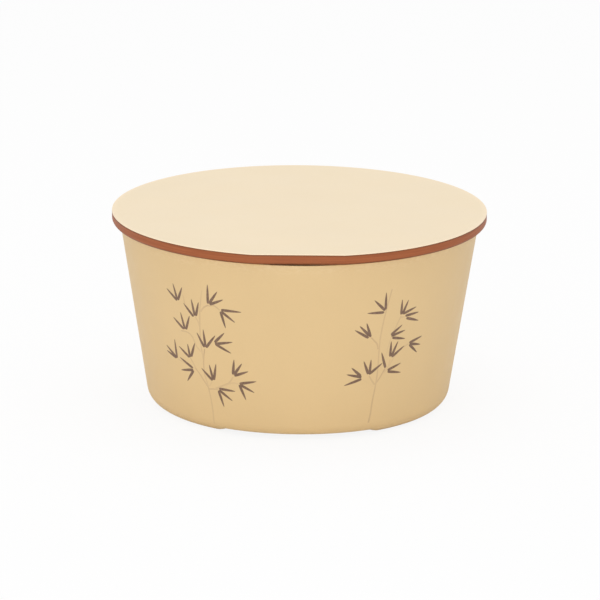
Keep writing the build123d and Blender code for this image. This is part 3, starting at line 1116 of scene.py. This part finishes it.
def on_wall(sizes, around, height, lift):
    """Points on the wall: the angle round the axis, the height, and the lift at a right angle to
    the surface, which adds to the radius over the cosine of the slope."""
    radius, cosine = printed_surface(sizes, height)
    radius = radius + lift / cosine
    return np.stack((radius * np.sin(around), -radius * np.cos(around), height), axis=-1)


def front_place(sizes, across, height):
    """Angle round the axis of a point on the wall that is seen this far across from the front:
    the arc sine of the distance over the wall's radius there."""
    return np.arcsin(across / wall_radius(sizes, height))


def inked(sizes, prints, middle, ahead, half_width, base_angle, base_height, edge, top):
    """Closed lens-shaped strips of ink that lie on the wall.

    A strip's points are its middle line plus, for each angle round the lens, the cosine times the
    half width at a right angle to the line, and as a lift over the wall the edge's height plus
    the sine times the way from there up to the top or down to the ink's depth in the wall. The
    plane of the strip is wrapped on the wall: its distance along is divided by the radius, and
    its height is multiplied by the cosine of the taper.
    """
    lens = full_turn(LENS_POINTS)
    side = np.stack((ahead[..., 1], -ahead[..., 0]), axis=-1)
    spread = np.cos(lens)[:, None] * (half_width[..., None, None] * side[..., None, :])
    flat = middle[..., None, :] + spread
    rise = np.sin(lens)
    lift = edge + rise * np.where(rise > 0, top - edge, prints.ink_depth + edge)
    height = base_height + flat[..., 1] * math.cos(taper_of(sizes))
    around = base_angle + flat[..., 0] / wall_radius(sizes, height)
    return on_wall(sizes, around, height, lift)


def leaf_grids(sizes, prints, groups):
    """All leaves of a spray as one array of grids.

    A leaf runs straight on the wall from its start to its tip, and the leaf end further at both,
    where its ink is too thin to be seen. With the share s of that way, its half width is the
    greatest one times s to the power 0.2 times one less s to the power 0.6, over that product's
    peak: a blade with a blunt base, widest at a quarter of its length, and a long tip.
    """
    leaves = np.array([leaf for group in groups for leaf in group], float) * MILLIMETRE
    across, height, tip_across, tip_height = leaves.T[..., None]
    around = front_place(sizes, across, height)
    radius = wall_radius(sizes, (height + tip_height) / 2)
    onward = np.stack((
        (front_place(sizes, tip_across, tip_height) - around) * radius,
        (tip_height - height) / math.cos(taper_of(sizes)),
    ), axis=-1)
    reach = np.linalg.norm(onward, axis=-1)
    ahead = onward / reach[..., None]
    share = np.linspace(LEAF_POINT, 1 - LEAF_POINT, LEAF_ROWS)[None]
    along = (reach + 2 * prints.leaf_end) * share - prints.leaf_end
    rise, fall = 0.2, 0.6
    peak = (rise / (rise + fall)) ** rise * (fall / (rise + fall)) ** fall
    width = share ** rise * (1 - share) ** fall / peak * prints.leaf_width / 2
    return inked(
        sizes, prints, along[..., None] * ahead, ahead, width, around[..., None], height[..., None],
        prints.stem_thickness, prints.leaf_thickness,
    )


def joined_strips(name, strips, finish, **marks):
    """One piece of many closed strips, each a grid of rows with a point at either end, which is
    the mean of its end row. Every strip has a list of each mark's values."""
    vertices, quads, fans, start = [], [], [], 0
    for grid in strips:
        strip_quads, strip_fans = wrapped_faces(*grid.shape[:2], start)
        quads.append(strip_quads)
        fans.append(strip_fans)
        vertices += [grid.reshape(-1, 3), grid[[0, -1]].mean(axis=1)]
        start += grid.shape[0] * grid.shape[1] + 2
    vertices, quads, fans = (np.concatenate(parts) for parts in (vertices, quads, fans))
    spread = {mark: np.concatenate(values) for mark, values in marks.items()}
    return finished_piece(name, vertices, quads, fans, finish, spread)


def smooth_path(points, count):
    """Points of a smooth curve through the listed ones: each stretch is the cubic whose slope at
    an end is half the way between that end's neighbours."""
    points = np.asarray(points, float)
    padded = np.concatenate((2 * points[:1] - points[1:2], points, 2 * points[-1:] - points[-2:-1]))
    before, start, end, after = (v[:, None] for v in (padded[:-3], padded[1:-2], padded[2:-1], padded[3:]))
    share = np.linspace(0, 1, count, endpoint=False)[None, :, None]
    curve = 0.5 * (
        2 * start
        + (end - before) * share
        + (2 * before - 5 * start + 4 * end - after) * share ** 2
        + (3 * start - before - 3 * end + after) * share ** 3
    )
    return np.concatenate((curve.reshape(-1, 2), points[-1:]))


def stem_grids(sizes, prints, stems):
    """Stems as strips of ink along smooth paths on the wall, a little thinner towards their ends,
    and the strength of the ink at each point of them."""
    grids, strengths = [], []
    for (first, last), *places in stems:
        across, height = smooth_path(np.array(places) * MILLIMETRE, STEM_STEPS).T
        around = front_place(sizes, across, height)
        line = np.column_stack((
            around * wall_radius(sizes, height), height / math.cos(taper_of(sizes)),
        ))
        ahead = np.gradient(line, axis=0)
        ahead /= np.linalg.norm(ahead, axis=1)[:, None]
        width = np.linspace(prints.stem_width, prints.twig_width, len(line)) / 2
        grids.append(inked(
            sizes, prints, np.zeros_like(line), ahead, width, around[:, None], height[:, None],
            0, prints.stem_thickness,
        ))
        along = np.repeat(np.linspace(first, last, len(line)), LENS_POINTS)
        strengths.append(np.concatenate((along, (first, last))))
    return grids, strengths


class RICE_TUB_OT_bamboo_print(Undoable, bpy.types.Operator):
    """Print a bamboo spray on each side of the wall's front"""

    bl_idname = "rice_tub.bamboo_print"
    bl_label = "Bamboo Print"

    def execute(self, context):
        """On each side all stems are one piece and all leaves another, which lies over it."""
        sizes = context.scene.rice_tub_sizes
        prints = context.scene.rice_tub_print
        for side, leaves, stems in (
            ("left", LEFT_LEAVES, LEFT_STEMS), ("right", RIGHT_LEAVES, RIGHT_STEMS)
        ):
            grids, strengths = stem_grids(sizes, prints, stems)
            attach(joined_strips(
                f"bamboo_stems_{side}", grids, finish_once(stem_ink), strength=strengths,
            ), "tub")
            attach(joined_strips(
                f"bamboo_leaves_{side}", leaf_grids(sizes, prints, leaves), finish_once(leaf_ink),
            ), "tub")
        return {"FINISHED"}


# Stage

PAPER_WHITE = (0.95, 0.95, 0.95)
SENSOR_WIDTH = 36
FRONT_PLACE = (-0.5, -3.0, 0.8)  # of the soft boxes, in metres
TOP_PLACE = (-0.1, 0.1, 2.6)


def paper_floor(stage):
    """White paper: to the camera mostly plain white, mixed with its own shading so that it keeps
    the tub's shadow, and to all other rays a white sheet that throws light back."""
    material = bpy.data.materials.new("paper_floor")
    nodes = Nodes(material)
    seen = nodes.node("ShaderNodeLightPath").outputs["Is Camera Ray"]
    mix = nodes.node("ShaderNodeMixShader", {
        "Fac": nodes.times(seen, 1 - stage.floor_shadow),
        1: nodes.node("ShaderNodeBsdfDiffuse", {"Color": PAPER_WHITE}).outputs["BSDF"],
        2: nodes.node("ShaderNodeEmission").outputs["Emission"],
    })
    nodes.node("ShaderNodeOutputMaterial", {"Surface": mix.outputs["Shader"]})
    return material


def white_surroundings(stage):
    """A world that is plain white to the camera and lights the tub evenly from all sides."""
    world = bpy.data.worlds.new("white_surroundings")
    bpy.context.scene.world = world
    nodes = Nodes(world)
    light, white = (
        nodes.node("ShaderNodeBackground", {"Color": (1, 1, 1), "Strength": strength})
        for strength in (stage.sky_strength, 1)
    )
    mix = nodes.node("ShaderNodeMixShader", {
        "Fac": nodes.node("ShaderNodeLightPath").outputs["Is Camera Ray"],
        1: light.outputs["Background"],
        2: white.outputs["Background"],
    })
    nodes.node("ShaderNodeOutputWorld", {"Surface": mix.outputs["Shader"]})


def soft_box(name, place, aim, side, watts):
    """A square area lamp at a place, facing a point."""
    lamp = bpy.data.lights.new(name, "AREA")
    lamp.shape = "SQUARE"
    lamp.size = side
    lamp.energy = watts
    facing = (Vector(aim) - Vector(place)).to_track_quat("-Z", "Y")
    turn = facing.to_matrix().to_4x4()
    scene_object(name, lamp).matrix_world = Matrix.Translation(place) @ turn


def photograph_camera(stage):
    """Camera at the photograph's angle.

    It stands at the aim point plus the distance times the direction back to it, which is the
    elevation's cosine towards the front and its sine upwards, and is turned by the roll.
    """
    camera = bpy.data.cameras.new("photograph_camera")
    camera.lens = stage.camera_lens
    camera.sensor_width = SENSOR_WIDTH
    camera.clip_end = 4 * stage.camera_distance
    holder = scene_object("photograph_camera", camera)
    up_tilt = math.pi / 2 - stage.camera_elevation
    turn = Matrix.Rotation(up_tilt, 4, "X") @ Matrix.Rotation(stage.camera_roll, 4, "Z")
    back = Vector((0, -math.cos(stage.camera_elevation), math.sin(stage.camera_elevation)))
    aim = Vector((stage.aim_side, 0, stage.aim_height))
    holder.matrix_world = Matrix.Translation(aim + stage.camera_distance * back) @ turn
    bpy.context.scene.camera = holder


class RICE_TUB_OT_stage(Undoable, bpy.types.Operator):
    """Set up the white floor, the surroundings, the soft boxes and the camera"""

    bl_idname = "rice_tub.stage"
    bl_label = "Stage"

    def execute(self, context):
        """The floor is one square face about the axis, and the soft boxes face the camera's aim."""
        stage = context.scene.rice_tub_stage
        half = stage.floor_size / 2
        corners = [(-half, -half, 0), (half, -half, 0), (half, half, 0), (-half, half, 0)]
        mesh = bpy.data.meshes.new("floor")
        mesh.from_pydata(corners, [], [(0, 1, 2, 3)])
        mesh.materials.append(paper_floor(stage))
        floor = scene_object("floor", mesh)
        white_surroundings(stage)
        aim = (0, 0, stage.aim_height)
        soft_box("front_soft_box", FRONT_PLACE, aim, stage.key_side, stage.key_power)
        soft_box("top_soft_box", TOP_PLACE, aim, stage.top_side, stage.top_power)
        photograph_camera(stage)
        context.scene.view_settings.view_transform = "Standard"
        return {"FINISHED"}


class RICE_TUB_PT_panel(bpy.types.Panel):
    """Lists the pieces of the rice tub and their sizes"""

    bl_label = "Rice Tub"
    bl_idname = "RICE_TUB_PT_panel"
    bl_space_type = "VIEW_3D"
    bl_region_type = "UI"
    bl_category = "Rice Tub"

    def draw(self, context):
        """A button for every operator, then a box with the fields of every group of values."""
        layout = self.layout
        for operator in OPERATORS:
            layout.operator(operator.bl_idname)
        for name, group in GROUPS.items():
            box = layout.box()
            box.label(text=group.__doc__.splitlines()[0])
            for field in group.__annotations__:
                box.prop(getattr(context.scene, name), field)


OPERATORS = (
    RICE_TUB_OT_outer_shell,
    RICE_TUB_OT_fill_plug,
    RICE_TUB_OT_liner,
    RICE_TUB_OT_foam,
    RICE_TUB_OT_lid_top_sheet,
    RICE_TUB_OT_lid_bottom_sheet,
    RICE_TUB_OT_lid_edge_band,
    RICE_TUB_OT_locating_ring,
    RICE_TUB_OT_bamboo_print,
    RICE_TUB_OT_stage,
)
GROUPS = {
    "rice_tub_sizes": RiceTubSizes,
    "rice_tub_lid": RiceTubLidSizes,
    "rice_tub_print": RiceTubPrint,
    "rice_tub_colours": RiceTubColours,
    "rice_tub_stage": RiceTubStage,
}


def register():
    """Adds the classes, and to every scene the groups of values."""
    for group in GROUPS.values():
        bpy.utils.register_class(group)
    for name, group in GROUPS.items():
        setattr(bpy.types.Scene, name, PointerProperty(type=group))
    for operator in (*OPERATORS, RICE_TUB_PT_panel):
        bpy.utils.register_class(operator)


def unregister():
    """Takes the classes and the groups of values away again."""
    for operator in reversed((*OPERATORS, RICE_TUB_PT_panel)):
        bpy.utils.unregister_class(operator)
    for name, group in GROUPS.items():
        delattr(bpy.types.Scene, name)
        bpy.utils.unregister_class(group)


def main():
    """Registers the add-on, and makes every piece and the stage."""
    register()
    for operator in OPERATORS:
        group, name = operator.bl_idname.split(".")
        getattr(getattr(bpy.ops, group), name)()


if __name__ == "__main__":
    main()
